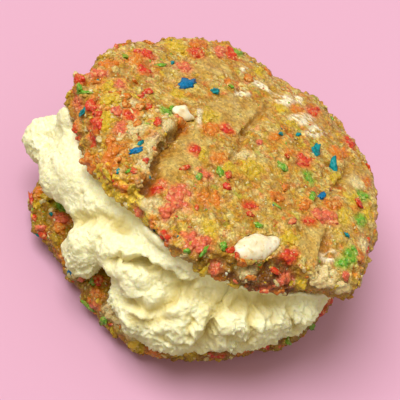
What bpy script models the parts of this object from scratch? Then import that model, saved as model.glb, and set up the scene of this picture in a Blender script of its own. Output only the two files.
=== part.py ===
"""Sandwich cookie: two soft cookies baked with crushed fruit cereal, round a thick wedge of cream.

+X is the cookie's right, -Y its front, where the cream swells out, and +Z is up. The lower cookie
lies with its domed side down on a small flat spot, the cream stands on it in a wedge, thick at the
front and thin at the back, and the upper cookie leans back on the cream. Two lumps of white
chocolate are sunk in the upper cookie. Metres throughout, except where a name or a note says mm.
"""

import math

import bmesh
import bpy
from mathutils import Euler, Matrix, Vector, noise

# Driving dimensions
MM = 0.001
GAP = 0.0003  # clearance between pieces that touch

LOWER_RADIUS = 0.0418
LOWER_THICKNESS = 0.0125
LOWER_DOME = 0.0015
LOWER_CENTRE = (-0.0016, 0.0)
FLAT_SPOT_RISE = 0.0006  # how much of the lower dome is pressed flat
UPPER_RADIUS = 0.0432
UPPER_THICKNESS = 0.0130
UPPER_DOME = 0.0030
UPPER_CENTRE = (0.0014, 0.0016, 0.0322)
UPPER_LEAN_BACK = 12.5  # degrees, front edge lifted by the cream
UPPER_LEAN_RIGHT = 3.0  # degrees, left edge lifted
CREAM_RADIUS = 0.0395  # of the wedge, before its swellings

# The upper cookie's own features, heights in mm
BROKEN_PIECE_RISE = 1.6
RIDGE_RISE = 1.1
RIDGE_GROOVE = 0.9
TORN_EDGE_SHARE = 0.05  # of the radius, lost below the front right edge
THIN_EDGE_RISE = 2.6
CRACK_WIDTH = 0.0016

# How finely the shapes are made
TURNED_STEPS = 72
PROFILE_STEPS = 17
PROFILE_EASE = 0.15
CORNER_POWER = 3.6  # how square the cookies' rims are
WELD = 0.00002
CREAM_GRID = 0.0016
CREAM_TRIANGLES = 2700

# Swellings of a rim: direction in degrees from +X, half-width in degrees, reach in mm
LOWER_RIM = (
    (-146, 10, 2.4),
    (-119, 12, -1.0),
    (-78, 20, 3.2),
    (-50, 10, -0.8),
    (-28, 8, 0.8),
    (-10, 12, 1.6),
    (70, 25, 0.8),
    (130, 22, -0.9),
)
UPPER_RIM = (
    (-168, 8, 2.8),
    (-142, 12, -1.4),
    (-112, 6, -1.6),
    (-80, 12, -0.9),
    (-70, 8, 1.2),
    (-46, 9, -1.6),
    (-30, 9, 2.8),
    (12, 20, -3.8),
    (72, 12, 1.4),
    (84, 7, -2.0),
    (108, 14, 1.8),
    (146, 4, -3.0),
    (155, 14, 1.3),
)
# How far the wedge of cream stands back from its plain round edge
CREAM_RIM = (
    (-140, 18, -4.5),
    (-112, 6, -5.5),
    (60, 40, -1.0),
)

# Swellings of the cream: direction in degrees, distance out, height, half-sizes along the rim, outwards
# and up, and lean in degrees, all lengths in mm
CREAM_SWELLINGS = (
    (-166, 42.0, 19.0, 8.5, 8.5, 7.0, 12),
    (-163, 42.3, 30.0, 3.4, 2.6, 6.0, 0),
    (-149, 38.0, 25.0, 11.0, 7.0, 8.5, 8),
    (-131, 35.0, 26.0, 11.0, 7.0, 8.0, 0),
    (-116, 36.0, 26.0, 9.0, 6.5, 7.0, 0),
    (-120, 41.0, 19.0, 6.0, 5.5, 7.5, -6),
    (-105, 40.0, 27.5, 9.0, 5.5, 5.0, 0),
    (-91, 40.0, 18.5, 9.5, 7.5, 9.5, 6),
    (-79, 40.5, 19.5, 9.0, 7.5, 10.0, 0),
    (-68, 38.5, 21.5, 8.0, 7.5, 11.5, 0),
    (-54, 38.0, 22.0, 9.0, 7.0, 11.0, 0),
    (-38, 37.0, 23.5, 9.5, 6.5, 10.0, 0),
    (-24, 36.0, 25.0, 7.0, 5.5, 7.5, 0),
    (-8, 35.5, 20.0, 9.0, 5.5, 4.5, 0),
    (14, 36.0, 18.0, 9.0, 4.5, 4.0, 0),
    (40, 35.5, 16.5, 11.0, 5.5, 3.5, 0),
    (68, 36.0, 15.5, 9.0, 4.5, 3.0, 0),
    (96, 35.0, 15.0, 11.0, 5.5, 3.0, 0),
    (124, 36.5, 15.5, 9.0, 4.5, 3.0, 0),
    (150, 35.5, 17.0, 11.0, 5.5, 3.5, 0),
    (176, 36.5, 20.0, 9.0, 5.0, 5.0, 0),
)

CAKE_TAN = (0.60, 0.42, 0.22)
CAKE_BROWN = (0.50, 0.33, 0.16)
CREAM_WHITE = (0.93, 0.88, 0.66)
CHUNK_WHITE = (0.90, 0.85, 0.72)


def clear_scene():
    for old in list(bpy.data.objects):
        bpy.data.objects.remove(old, do_unlink=True)


def make_material(name, colour, roughness):
    material = bpy.data.materials.new(name)
    material.use_nodes = True
    shader = material.node_tree.nodes["Principled BSDF"]
    shader.inputs["Base Color"].default_value = (*colour, 1.0)
    shader.inputs["Roughness"].default_value = roughness
    shader.inputs["Metallic"].default_value = 0.0
    return material


def add_object(name, mesh, collection, material=None):
    piece = bpy.data.objects.new(name, mesh)
    collection.objects.link(piece)
    if material:
        mesh.materials.clear()
        mesh.materials.append(material)
    return piece


def mesh_from(bm, name):
    mesh = bpy.data.meshes.new(name)
    bm.to_mesh(mesh)
    bm.free()
    return mesh


def weld(mesh):
    """Joins the doubled points that a turned or drawn shape keeps, and points its faces outwards."""
    bm = bmesh.new()
    bm.from_mesh(mesh)
    bmesh.ops.remove_doubles(bm, verts=bm.verts, dist=WELD)
    bmesh.ops.recalc_face_normals(bm, faces=bm.faces)
    bm.to_mesh(mesh)
    bm.free()


def settle(piece):
    """Bakes an object's modifiers into its mesh, so that later shaping works on the result."""
    graph = bpy.context.evaluated_depsgraph_get()
    mesh = bpy.data.meshes.new_from_object(piece.evaluated_get(graph))
    piece.modifiers.clear()
    piece.data = mesh


def shape_points(piece, rule):
    """Moves each point of a mesh by a rule that takes and returns its place in mm."""
    for vertex in piece.data.vertices:
        vertex.co = rule(vertex.co / MM) * MM
    piece.data.update()


def fix_facets(piece):
    """Splits a shaped piece's bent quads, so that its seat in a neighbour has the same facets."""
    bm = bmesh.new()
    bm.from_mesh(piece.data)
    bmesh.ops.triangulate(bm, faces=bm.faces)
    bm.to_mesh(piece.data)
    bm.free()


def keep_largest(piece):
    """Drops the scraps that a cut leaves, and keeps the one large body."""
    bm = bmesh.new()
    bm.from_mesh(piece.data)
    unseen = set(bm.verts)
    bodies = []
    while unseen:
        body = [unseen.pop()]
        for vertex in body:
            for edge in vertex.link_edges:
                other = edge.other_vert(vertex)
                if other in unseen:
                    unseen.remove(other)
                    body.append(other)
        bodies.append(body)
    bodies.sort(key=len)
    for scrap in bodies[:-1]:
        bmesh.ops.delete(bm, geom=scrap, context="VERTS")
    bm.to_mesh(piece.data)
    bm.free()


# Rules of shape, in mm and degrees


def smooth_step(value, low, high):
    share = min(max((value - low) / (high - low), 0.0), 1.0)
    return share * share * (3 - 2 * share)


def hump(value, middle, half_width):
    """A rounded hump of height 1 over a value, such as a distance."""
    return math.exp(-(((value - middle) / half_width) ** 2))


def hump_round(direction, middle, half_width):
    """The same over a direction in degrees, so that it runs on across the back."""
    return hump((direction - middle + 180) % 360 - 180, 0.0, half_width)


def direction_of(point):
    return math.degrees(math.atan2(point.y, point.x))


def rim_reach(direction, swellings):
    """How far a rim stands out in a direction: its swellings and a small ripple."""
    ripple = 0.35 * math.sin(math.radians(7 * direction)) + 0.3 * math.sin(math.radians(11 * direction + 40))
    return ripple + sum(
        height * hump_round(direction, middle, half_width) for middle, half_width, height in swellings
    )


def lumpy(point, strength, scale, seed):
    """A push for soft dough or cream: lumps of a scale that stand out by a strength."""
    where = point / scale
    return strength * Vector([noise.noise(where + Vector((seed, 9 * axis, -seed))) for axis in range(3)])


def swell_rim(point, radius, swellings):
    """Stretches a disc so that its rim follows the swellings, and says how far out the point was."""
    out = math.hypot(point.x, point.y) / radius
    grow = 1 + rim_reach(direction_of(point), swellings) * out * out / radius
    return Vector((point.x * grow, point.y * grow, point.z)), out


def shape_lower(point):
    place, out = swell_rim(point, LOWER_RADIUS / MM, LOWER_RIM)
    return place + lumpy(point, 1.3, 7.0, 11) * smooth_step(out, 0.55, 0.95)


def crumbled_side(point):
    """Distance from the long crack, positive on the crumbled piece at the left front."""
    crack = -18.0 - 0.9 * math.sin(0.28 * (point.y + 18)) + 1.4 * smooth_step(-point.y, 32, 40)
    return crack - point.x


def shape_upper(point):
    place, out = swell_rim(point, UPPER_RADIUS / MM, UPPER_RIM)
    direction = direction_of(point)
    on_top = smooth_step(point.z, -1.0, 3.0)
    below = 1 - on_top
    # the crumbled piece stands above the rest, and sinks back towards the middle
    crumbled = smooth_step(crumbled_side(point), -0.8, 0.8) * (1 - smooth_step(point.y, -12, 2))
    place.z += BROKEN_PIECE_RISE * crumbled * on_top
    # a ridge runs round the back left of the rim, with a shallow groove inside it
    ridge = RIDGE_RISE * hump(out, 0.86, 0.09) - RIDGE_GROOVE * hump(out, 0.66, 0.07)
    place.z += ridge * hump_round(direction, 150, 38) * on_top
    # the front right edge has torn away below, which leaves its top face overhanging
    torn = TORN_EDGE_SHARE * hump_round(direction, -58, 26) * smooth_step(out, 0.7, 1.0) * below
    place.x *= 1 - torn
    place.y *= 1 - torn
    # the front edge is thin where the cream pushed it up
    place.z += THIN_EDGE_RISE * hump_round(direction, -98, 20) * smooth_step(out, 0.6, 1.0) * below
    rough = smooth_step(out, 0.6, 0.95)
    return place + lumpy(point, 0.7 + 0.9 * rough, 8.0, 3) + lumpy(point, 0.5 * rough, 3.5, 7)


def shape_cream(point):
    return point + lumpy(point, 1.1, 8.0, 21) + lumpy(point, 0.6, 3.6, 5)


# Cookies


def turned_cookie(name, radius, thickness, dome, collection, material):
    """A disc turned from a rounded profile, dome upwards, with its middle plane at the origin."""
    bm = bmesh.new()
    previous = None
    for step in range(PROFILE_STEPS + 1):
        turn = math.pi * step / PROFILE_STEPS
        # the steps are eased, so that the flat faces get rings as well as the rim
        turn -= PROFILE_EASE * math.sin(4 * turn)
        out = abs(math.sin(turn)) ** (2 / CORNER_POWER) * radius
        up = math.copysign(abs(math.cos(turn)) ** (2 / CORNER_POWER), math.cos(turn)) * thickness / 2
        if up > 0:
            up += dome * (1 - (out / radius) ** 2)
        if step in (0, PROFILE_STEPS):
            out = 0.0
        point = bm.verts.new((out, 0, up))
        if previous:
            bm.edges.new((previous, point))
        previous = point
    piece = add_object(name, mesh_from(bm, name), collection, material)
    screw = piece.modifiers.new("turn", "SCREW")
    screw.axis = "Z"
    screw.steps = TURNED_STEPS
    screw.render_steps = TURNED_STEPS
    screw.use_merge_vertices = True
    screw.merge_threshold = WELD
    settle(piece)
    weld(piece.data)
    return piece


def rest_flat(piece):
    """Presses the lowest part of a dome flat, which makes the spot that the cookie rests on."""
    for vertex in piece.data.vertices:
        vertex.co.z = max(vertex.co.z, FLAT_SPOT_RISE)
    piece.data.update()


def white_chunk(name, place, half_sizes, turn, collection, material):
    """A lump of white chocolate: a squashed ball with one end drawn out. Sizes in mm, turn in degrees."""
    bm = bmesh.new()
    bmesh.ops.create_uvsphere(bm, u_segments=16, v_segments=10, radius=1.0)
    for vertex in bm.verts:
        taper = 1 - 0.35 * smooth_step(vertex.co.x, -0.2, 1.0)
        vertex.co.y *= taper
        vertex.co.z *= taper
        vertex.co = Vector([half * axis for half, axis in zip(half_sizes, vertex.co)])
        vertex.co += lumpy(vertex.co, 0.25, 2.5, 5)
    turned = Euler([math.radians(angle) for angle in turn]).to_matrix().to_4x4()
    bmesh.ops.transform(
        bm, matrix=Matrix.Scale(MM, 4) @ Matrix.Translation(place) @ turned, verts=bm.verts
    )
    bmesh.ops.recalc_face_normals(bm, faces=bm.faces)
    return add_object(name, mesh_from(bm, name), collection, material)


def stand_upper(piece):
    """Puts a shape made in the upper cookie's own frame in its place on the cream."""
    lean_right = Matrix.Rotation(math.radians(UPPER_LEAN_RIGHT), 4, "Y")
    lean_back = Matrix.Rotation(math.radians(-UPPER_LEAN_BACK), 4, "X")
    piece.data.transform(Matrix.Translation(UPPER_CENTRE) @ lean_right @ lean_back)
    piece.data.update()


# Cutters


def hide_cutter(cutter):
    cutter.hide_render = True
    cutter.display_type = "WIRE"
    return cutter


def seat_cutter(piece, cutters):
    """A copy of a piece grown by the clearance, which cuts the piece's seat in a neighbour."""
    copy = add_object(piece.name + "_seat", piece.data.copy(), cutters)
    for vertex in copy.data.vertices:
        vertex.co += vertex.normal * GAP
    return hide_cutter(copy)


def crack_cutter(name, route, cutters):
    """A round tool drawn along a crack's route, in mm, with slimmer ends."""
    curve = bpy.data.curves.new(name, "CURVE")
    curve.dimensions = "3D"
    curve.bevel_depth = CRACK_WIDTH / 2
    curve.bevel_resolution = 1
    curve.use_fill_caps = True
    spline = curve.splines.new("POLY")
    spline.points.add(len(route) - 1)
    for point, place in zip(spline.points, route):
        point.co = (*(Vector(place) * MM), 1.0)
    spline.points[0].radius = 0.5
    spline.points[-1].radius = 0.4
    drawn = bpy.data.objects.new(name, curve)
    cutters.objects.link(drawn)
    graph = bpy.context.evaluated_depsgraph_get()
    graph.update()
    mesh = bpy.data.meshes.new_from_object(drawn.evaluated_get(graph))
    bpy.data.objects.remove(drawn)
    weld(mesh)
    return hide_cutter(add_object(name, mesh, cutters))


def notch_cutter(name, tip, mouth, width, depth, cutters):
    """A wedge that opens a notch in a rim, from its tip to its mouth. All in mm."""
    run = Vector(mouth) - Vector(tip)
    bm = bmesh.new()
    bmesh.ops.create_cone(
        bm, cap_ends=True, segments=6, radius1=0.05 * width, radius2=width / 2, depth=run.length
    )
    turned = run.to_track_quat("Z", "Y").to_matrix().to_4x4()
    deepened = Matrix.Diagonal((1, depth / width, 1, 1))
    middle = Matrix.Translation((Vector(tip) + Vector(mouth)) / 2)
    bmesh.ops.transform(bm, matrix=Matrix.Scale(MM, 4) @ middle @ turned @ deepened, verts=bm.verts)
    return hide_cutter(add_object(name, mesh_from(bm, name), cutters))


def cut(piece, cutter):
    boolean = piece.modifiers.new("cut_" + cutter.name, "BOOLEAN")
    boolean.operation = "DIFFERENCE"
    boolean.solver = "EXACT"
    boolean.object = cutter


# Cream


def upper_plane(x, y):
    """Height of the upper cookie's middle plane above a point."""
    fall_back = math.tan(math.radians(UPPER_LEAN_BACK)) * (y - UPPER_CENTRE[1])
    fall_right = math.tan(math.radians(UPPER_LEAN_RIGHT)) * (x - UPPER_CENTRE[0])
    return UPPER_CENTRE[2] - fall_back - fall_right


def add_swelling(bm, direction, distance, height, along, outwards, upwards, lean):
    """One rounded swelling of the cream, set out by its direction from the middle."""
    angle = math.radians(direction)
    place = Vector((math.cos(angle) * distance, math.sin(angle) * distance, height)) * MM
    turn = Matrix.Rotation(angle, 4, "Z") @ Matrix.Rotation(math.radians(lean), 4, "X")
    size = Matrix.Diagonal((outwards * MM, along * MM, upwards * MM, 1))
    ball = bmesh.ops.create_uvsphere(bm, u_segments=20, v_segments=12, radius=1.0)
    bmesh.ops.transform(bm, matrix=Matrix.Translation(place) @ turn @ size, verts=ball["verts"])


def cream_wedge(name, collection, material):
    """The wedge between the cookies with its swellings, grown together to one soft body."""
    bm = bmesh.new()
    bmesh.ops.create_cone(
        bm, cap_ends=True, segments=64, radius1=CREAM_RADIUS, radius2=CREAM_RADIUS, depth=MM
    )
    for vertex in bm.verts:
        stand = 1 + rim_reach(direction_of(vertex.co), CREAM_RIM) * MM / CREAM_RADIUS
        vertex.co.x *= stand
        vertex.co.y *= stand
        top = vertex.co.z > 0
        vertex.co.z = upper_plane(vertex.co.x, vertex.co.y) if top else LOWER_THICKNESS / 2
    for swelling in CREAM_SWELLINGS:
        add_swelling(bm, *swelling)
    piece = add_object(name, mesh_from(bm, name), collection, material)
    grow = piece.modifiers.new("grow_together", "REMESH")
    grow.mode = "VOXEL"
    grow.voxel_size = CREAM_GRID
    soften = piece.modifiers.new("soften", "SMOOTH")
    soften.factor = 0.5
    soften.iterations = 3
    settle(piece)
    shape_points(piece, shape_cream)
    lighten = piece.modifiers.new("lighten", "DECIMATE")
    lighten.ratio = CREAM_TRIANGLES / (2 * len(piece.data.polygons))
    settle(piece)
    return piece


# Whole


def centre_on_origin(pieces):
    """Slides everything together so that the middle of its footprint is the origin, on z = 0."""
    corners = [vertex.co for piece in pieces for vertex in piece.data.vertices]
    low = Vector([min(corner[axis] for corner in corners) for axis in range(3)])
    high = Vector([max(corner[axis] for corner in corners) for axis in range(3)])
    slide = Matrix.Translation((-(low.x + high.x) / 2, -(low.y + high.y) / 2, -low.z))
    for piece in pieces:
        piece.data.transform(slide)


def shade_round(piece):
    piece.data.shade_smooth()
    piece.data.set_sharp_from_angle(angle=math.radians(55))


clear_scene()
sandwich = bpy.data.collections.new("sandwich_cookie")
cutters = bpy.data.collections.new("cutters")
bpy.context.scene.collection.children.link(sandwich)
bpy.context.scene.collection.children.link(cutters)

top_crust = make_material("cookie_dough_upper", CAKE_TAN, 0.75)
base_crust = make_material("cookie_dough_lower", CAKE_BROWN, 0.8)
filling = make_material("cream", CREAM_WHITE, 0.45)
chocolate = make_material("white_chocolate", CHUNK_WHITE, 0.4)

# Lower cookie, domed side down
lower = turned_cookie("cookie_lower", LOWER_RADIUS, LOWER_THICKNESS, LOWER_DOME, sandwich, base_crust)
lower.data.transform(Matrix.Rotation(math.pi, 4, "X"))
shape_points(lower, shape_lower)
lower.data.transform(Matrix.Translation((*LOWER_CENTRE, LOWER_THICKNESS / 2 + LOWER_DOME)))
rest_flat(lower)
fix_facets(lower)

# Upper cookie, domed side up, with its cracks, the notch in its front rim and its chunks, in mm
upper = turned_cookie("cookie_upper", UPPER_RADIUS, UPPER_THICKNESS, UPPER_DOME, sandwich, top_crust)
shape_points(upper, shape_upper)
tools = [notch_cutter("front_notch", (-18, -30, 8.5), (-16, -50, 3.5), 7.5, 11, cutters)]
crack_routes = {
    "long_crack": ((-17, -31, 7.4), (-18, -27, 8.2), (-19, -22, 8.8), (-18, -16, 9.2), (-17, -10, 8.9)),
    "middle_crack": ((-2, -12, 9.2), (-3, -5, 9.3), (-2, 2, 9.3), (-1, 9, 9.2), (-1, 18, 8.8)),
    "right_crack": ((26, 17, 7.4), (26, 11, 7.7), (25, 5, 8.0), (24, -2, 8.3)),
    "back_left_crack": ((-40, -5, 6.4), (-36, -1, 7.0), (-30, 4, 7.3), (-24, 6, 8.0)),
    "front_fold": ((27, -14, 7.6), (28, -19, 7.0), (29, -25, 5.8), (31, -31, 3.0)),
}
for crack, route in crack_routes.items():
    tools.append(crack_cutter(crack, route, cutters))
chunks = (
    white_chunk("white_chunk_front", (13.4, -32, 5), (6.8, 3, 2.3), (12, -9, 54), sandwich, chocolate),
    white_chunk("white_chunk_left", (-17.8, -6.3, 8.9), (3.4, 1.9, 1.4), (4, 4, 22), sandwich, chocolate),
)
for shape in (upper, *chunks, *tools):
    stand_upper(shape)
for tool in tools:
    cut(upper, tool)
for chunk in chunks:
    cut(upper, seat_cutter(chunk, cutters))
settle(upper)
keep_largest(upper)
fix_facets(upper)

# Cream, grown as one body and then trimmed to the two cookies
cream = cream_wedge("cream_filling", sandwich, filling)
cut(cream, seat_cutter(lower, cutters))
cut(cream, seat_cutter(upper, cutters))
settle(cream)
keep_largest(cream)

pieces = (lower, cream, upper, *chunks)
centre_on_origin(pieces)
for piece in pieces:
    shade_round(piece)
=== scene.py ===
"""Sandwich cookie: two soft cookies baked with crushed fruit cereal, round a thick wedge of cream.

The pieces follow one another as the cookie is put together, from the lower cookie up. Places and
sizes are in mm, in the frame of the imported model: +X right, -Y front, where the cream swells out,
and +Z up. The upper cookie leans back on the cream, so its own places are in its own frame, with
the origin at its middle and +Z square to its top.
"""

import math

import bmesh
import bpy
import numpy as np
from mathutils import Matrix, Vector, kdtree, noise
from mathutils.bvhtree import BVHTree


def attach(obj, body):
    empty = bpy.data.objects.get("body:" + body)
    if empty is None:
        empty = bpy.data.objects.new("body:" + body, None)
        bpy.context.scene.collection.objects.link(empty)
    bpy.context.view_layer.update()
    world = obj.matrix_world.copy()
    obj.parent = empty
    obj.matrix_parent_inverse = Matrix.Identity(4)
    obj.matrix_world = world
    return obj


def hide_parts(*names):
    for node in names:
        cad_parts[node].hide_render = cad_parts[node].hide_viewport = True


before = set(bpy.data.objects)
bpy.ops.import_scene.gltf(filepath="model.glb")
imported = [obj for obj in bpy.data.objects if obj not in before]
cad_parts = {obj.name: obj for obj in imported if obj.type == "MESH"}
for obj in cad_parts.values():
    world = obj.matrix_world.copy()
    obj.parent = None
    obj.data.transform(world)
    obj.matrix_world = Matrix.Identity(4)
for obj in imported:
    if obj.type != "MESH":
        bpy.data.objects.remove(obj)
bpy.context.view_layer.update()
MM = 0.001

# ------------------------------------------------------------------------------------------------
# Lower cookie: a soft round of cookie dough baked with crushed cereal, domed side down. Its rim is
# broken and crumbly. The solid is copied to a fine even mesh, and its crumb is raised out of that.

LOWER_MIDDLE = (1.6, 1.2)
LOWER_RADIUS = 41.8
LOWER_HIDDEN = 33  # nearer its middle than this, it faces the cream or the table
LOWER_GRAIN = 0.31
MOST_TRIANGLES = 190000


def new_piece(name, bm):
    """A new piece from an edit mesh, which is freed."""
    mesh = bpy.data.meshes.new(name)
    bm.to_mesh(mesh)
    bm.free()
    piece = bpy.data.objects.new(name, mesh)
    bpy.context.scene.collection.objects.link(piece)
    return piece


def fine_copy(node, name, grain, relax):
    """A closed copy of a solid with an even mesh of a grain in mm, its facets rubbed out."""
    bm = bmesh.new()
    bm.from_mesh(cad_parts[node].data)
    bmesh.ops.remove_doubles(bm, verts=bm.verts, dist=0.01 * MM)
    piece = new_piece(name, bm)
    remesh(piece, grain, relax)
    return piece


def remesh(piece, grain, relax):
    even = piece.modifiers.new("even", "REMESH")
    even.mode = "VOXEL"
    even.voxel_size = grain * MM
    soften = piece.modifiers.new("soften", "SMOOTH")
    soften.factor = 0.5
    soften.iterations = relax
    apply_modifiers(piece)


def apply_modifiers(piece):
    graph = bpy.context.evaluated_depsgraph_get()
    mesh = bpy.data.meshes.new_from_object(piece.evaluated_get(graph))
    old = piece.data
    piece.modifiers.clear()
    piece.data = mesh
    bpy.data.meshes.remove(old)


def thin_out(piece, hidden, triangles):
    """Fewer and larger faces where a piece is hidden, down to a number of triangles in all."""
    count = sum(len(face.vertices) - 2 for face in piece.data.polygons)
    if count <= triangles:
        return
    group = piece.vertex_groups.new(name="hidden")
    group.add(np.flatnonzero(hidden).tolist(), 1.0, "REPLACE")
    thin = piece.modifiers.new("thin", "DECIMATE")
    thin.ratio = triangles / count
    thin.vertex_group = "hidden"
    thin.vertex_group_factor = 100
    apply_modifiers(piece)
    piece.vertex_groups.clear()


def places_of(mesh):
    places = np.empty(len(mesh.vertices) * 3)
    mesh.vertices.foreach_get("co", places)
    return places.reshape(-1, 3) / MM


def normals_of(mesh):
    normals = np.empty(len(mesh.vertices) * 3)
    mesh.vertex_normals.foreach_get("vector", normals)
    return normals.reshape(-1, 3)


def away_from(places, middle):
    """How far places are from an upright line through a middle, x and y."""
    return np.hypot(places[:, 0] - middle[0], places[:, 1] - middle[1])


def move_to(mesh, places):
    mesh.vertices.foreach_set("co", (places * MM).ravel())
    mesh.update()


def push_out(piece, heights):
    """Moves a mesh's points along their normals, by heights in mm."""
    mesh = piece.data
    move_to(mesh, places_of(mesh) + normals_of(mesh) * np.asarray(heights)[:, None])


def smooth_step(value, low, high):
    share = np.clip((value - low) / (high - low), 0, 1)
    return share * share * (3 - 2 * share)


# Noise is turned off the axes, because a level surface would show its grid as stripes
NOISE_TURN = np.array(Matrix.Rotation(0.9, 3, "X") @ Matrix.Rotation(0.7, 3, "Y"))


def soft_noise(places, scale, seed):
    """Smooth noise of a scale in mm, from about -1 to 1."""
    return np.array([noise.noise(place) for place in (places @ NOISE_TURN / scale + seed * 7.31).tolist()])


def patches(places, scale, seed, low, high):
    """Soft patches of a scale in mm: 0 where their noise is under low, 1 where it is over high."""
    return smooth_step(soft_noise(places, scale, seed), low, high)


def crumbs(places, scale, seed):
    """Rounded crumbs packed side by side: each one's height, 1 on top and 0 in the gaps, and its tone."""
    found = [noise.voronoi(place) for place in (places / scale + seed * 3.17).tolist()]
    near = np.array([distances[0] / max(distances[1], 1e-6) for distances, _ in found])
    middles = np.array([points[0] for _, points in found])
    tone = np.modf(np.abs(np.sin(middles @ (12.99, 78.23, 37.72)) * 43758.5))[0]
    return np.sqrt(np.clip(1 - near * near, 0, 1)), tone


def paint(red, green, blue):
    """The linear colour of a paint chart's colour from 0 to 255."""
    chart = np.array((red, green, blue)) / 255
    return np.where(chart <= 0.04045, chart / 12.92, ((chart + 0.055) / 1.055) ** 2.4)


def mix(first, second, share):
    share = np.asarray(share)[..., None]
    return first * (1 - share) + second * share


DOUGH_TAN = paint(184, 141, 40)
DOUGH_PALE = paint(222, 203, 128)
DOUGH_GOLD = paint(172, 118, 8)
DOUGH_BROWN = paint(150, 88, 8)
DOUGH_OLIVE = paint(170, 126, 8)
CEREAL = {
    "red": paint(214, 58, 30),
    "coral": paint(222, 106, 74),
    "orange": paint(216, 122, 32),
    "yellow": paint(212, 178, 40),
    "green": paint(106, 172, 44),
    "teal": paint(8, 130, 136),
    "blue": paint(0, 104, 152),
    "plain": paint(226, 206, 150),
}
SOFT_DYES = (
    # cereal colour that has soaked into the dough, scale, strength and seed
    ("yellow", 3.0, 0.62, 8),
    ("orange", 2.4, 0.52, 9),
    ("coral", 2.0, 0.35, 10),
)
CRUMB_KINDS = (
    # from and to which tone a crumb is of a kind, its colour, and how strong that is
    (0.00, 0.20, DOUGH_PALE, 0.7),
    (0.20, 0.27, CEREAL["orange"], 0.5),
    (0.27, 0.34, CEREAL["yellow"], 0.55),
    (0.34, 0.37, CEREAL["coral"], 0.5),
    (0.37, 0.385, CEREAL["red"], 0.6),
    (0.385, 0.41, CEREAL["green"], 0.4),
    (0.41, 0.52, DOUGH_OLIVE, 0.5),
)


def dough_crumb(places, open_share, seed):
    """Relief of baked dough in mm, and its colour: lumps, packed crumbs where open, pits and grain, with
    painted shade in the gaps and pits.
    """
    large, tone = crumbs(places, 1.7, seed)
    small, small_tone = crumbs(places, 0.95, seed + 5)
    lumps = soft_noise(places, 5.0, seed) * 0.45 + soft_noise(places, 2.2, seed + 1) * 0.28
    grain = soft_noise(places, 0.8, seed + 2) * 0.13
    pits = patches(places, 1.9, seed + 6, 0.22, 0.5)
    height = lumps + grain + open_share * (0.3 * (large - 0.7) + 0.14 * (small - 0.7) - 0.6 * pits)
    pale = smooth_step(small_tone + 0.6 * np.modf(tone * 5)[0], 0.6, 1.15) * smooth_step(small, 0.1, 0.7)
    cloudy = patches(places, 3.0, seed + 3, -0.2, 0.5)
    colour = mix(DOUGH_TAN, DOUGH_PALE, np.clip(0.75 * pale * open_share + 0.45 * cloudy, 0, 1))
    gold = patches(places, 3.4, seed + 4, -0.05, 0.45)
    colour = mix(colour, DOUGH_GOLD, gold * 0.8)
    for shade, scale, strength, at in SOFT_DYES:
        dyed = patches(places, scale, seed + at, 0.24, 0.46)
        colour = mix(colour, CEREAL[shade], dyed * strength * open_share)
    colour *= (0.8 + 0.4 * np.modf(tone * 17)[0] * open_share + 0.2 * (1 - open_share))[:, None]
    rounded = smooth_step(large, 0.1, 0.6)
    for low, high, shade, strength in CRUMB_KINDS:
        inside = (tone >= low) & (tone < high)
        colour = mix(colour, shade, inside * strength * open_share * rounded)
        inside = (small_tone >= low) & (small_tone < high)
        colour = mix(colour, shade, inside * strength * 0.5 * open_share)
    # The gaps between the crumbs and the pits are painted darker brown: painted shade
    gaps = np.maximum(1 - smooth_step(np.minimum(large, small), 0.1, 0.6), pits)
    return height, mix(colour, DOUGH_BROWN, gaps * 0.45 * open_share)


def add(tree, kind, inputs=None, **settings):
    """A new node. Each input is a plain value or another node's output."""
    node = tree.nodes.new(kind)
    for name, value in settings.items():
        setattr(node, name, value)
    for name, value in (inputs or {}).items():
        if isinstance(value, bpy.types.NodeSocket):
            tree.links.new(value, node.inputs[name])
        else:
            node.inputs[name].default_value = value
    return node


def ramp(tree, factor, stops, interpolation="LINEAR"):
    node = add(tree, "ShaderNodeValToRGB", {"Fac": factor})
    node.color_ramp.interpolation = interpolation
    while len(node.color_ramp.elements) < len(stops):
        node.color_ramp.elements.new(1.0)
    for stop, (place, shade) in zip(node.color_ramp.elements, stops):
        stop.position = place
        stop.color = (*shade, 1)
    return node.outputs["Color"]


def spread(tree, value, low, high, to_low, to_high):
    inputs = {"Value": value, "From Min": low, "From Max": high, "To Min": to_low, "To Max": to_high}
    return add(tree, "ShaderNodeMapRange", inputs).outputs["Result"]


def times(tree, first, second):
    node = add(tree, "ShaderNodeMath", {0: first, 1: second}, operation="MULTIPLY")
    return node.outputs["Value"]


def blend(tree, share, first, second):
    return add(tree, "ShaderNodeMix", {0: share, 6: first, 7: second}, data_type="RGBA").outputs[2]


def stored(tree, name):
    """What is stored on the piece under a name."""
    return add(tree, "ShaderNodeAttribute", attribute_name=name).outputs


def grains(tree, where, many):
    """Packed grains, so many to a metre: the distance from each one's middle, and numbers for each."""
    cells = add(tree, "ShaderNodeTexVoronoi", {"Vector": where, "Scale": many}).outputs
    return cells["Distance"], add(tree, "ShaderNodeSeparateColor", {"Color": cells["Color"]}).outputs


def roughen(tree, shader, height, strength, depth):
    """Raises fine grain on a surface, to a depth in mm."""
    inputs = {"Strength": strength, "Distance": depth * MM, "Height": height}
    tree.links.new(add(tree, "ShaderNodeBump", inputs).outputs["Normal"], shader.inputs["Normal"])


def new_material(name):
    """A material, its node tree, its shader and its place on the piece."""
    material = bpy.data.materials.new(name)
    material.use_nodes = True
    tree = material.node_tree
    place = tree.nodes.new("ShaderNodeTexCoord").outputs["Object"]
    where = add(tree, "ShaderNodeMapping", {"Vector": place, "Rotation": (0.9, 0.7, 0.4)})
    return material, tree, tree.nodes["Principled BSDF"], where.outputs["Vector"]


def soak(shader, weight, depth, radius):
    """Lets light into a material, to a depth in mm."""
    shader.inputs["Subsurface Weight"].default_value = weight
    shader.inputs["Subsurface Scale"].default_value = depth * MM
    shader.inputs["Subsurface Radius"].default_value = radius


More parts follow.
